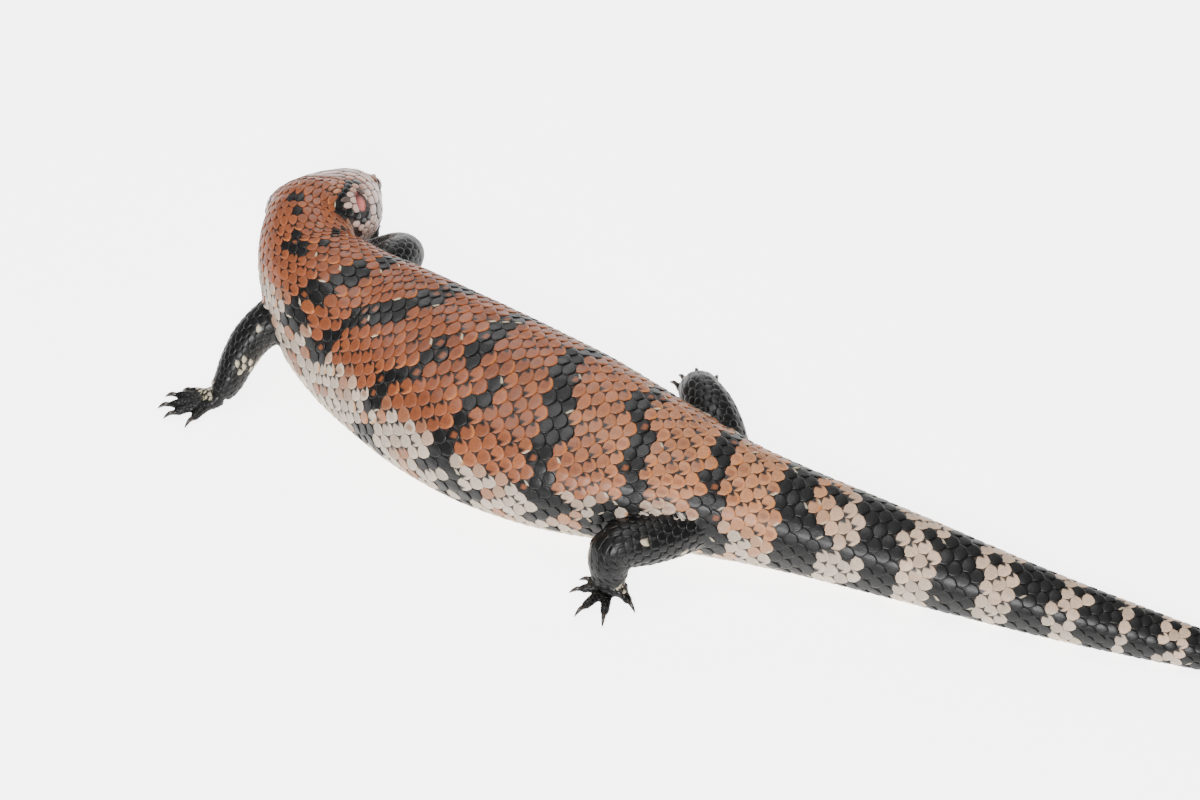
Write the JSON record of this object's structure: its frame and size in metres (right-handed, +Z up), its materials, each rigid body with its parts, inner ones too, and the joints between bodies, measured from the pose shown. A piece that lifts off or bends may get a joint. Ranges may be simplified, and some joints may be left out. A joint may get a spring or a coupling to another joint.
{
  "type": "blue-tongued skink",
  "caption": "Life-size still model of a large smooth-scaled skink resting on its belly, head turned right and bent down, limbs spread, tail trailing",
  "frame": {"origin": "on the flat of the belly, at floor level, under the middle of the trunk", "axes": "+X along the trunk towards the head, +Y to the animal's left, +Z up; the floor is z = 0"},
  "size_m": [0.4273, 0.1906, 0.057],
  "materials": {
    "rust_skin": "satin",
    "grey_skin": "satin",
    "black_skin": "satin",
    "eye": "gloss"
  },
  "bodies": {
    "root": {"head": "rust_skin", "lower_jaw": "grey_skin", "left_eye": "eye", "right_eye": "eye", "neck": "rust_skin", "chest": "rust_skin", "belly": "rust_skin", "hips": "rust_skin", "tail_base": "black_skin", "tail_middle": "black_skin", "tail_tip": "black_skin", "left_upper_arm": "black_skin", "left_forearm": "black_skin", "left_hand": "black_skin", "left_thigh": "black_skin", "left_shank": "black_skin", "left_foot": "black_skin", "right_upper_arm": "black_skin", "right_forearm": "black_skin", "right_hand": "black_skin", "right_thigh": "black_skin", "right_shank": "black_skin", "right_foot": "black_skin"}
  },
  "joints": []
}
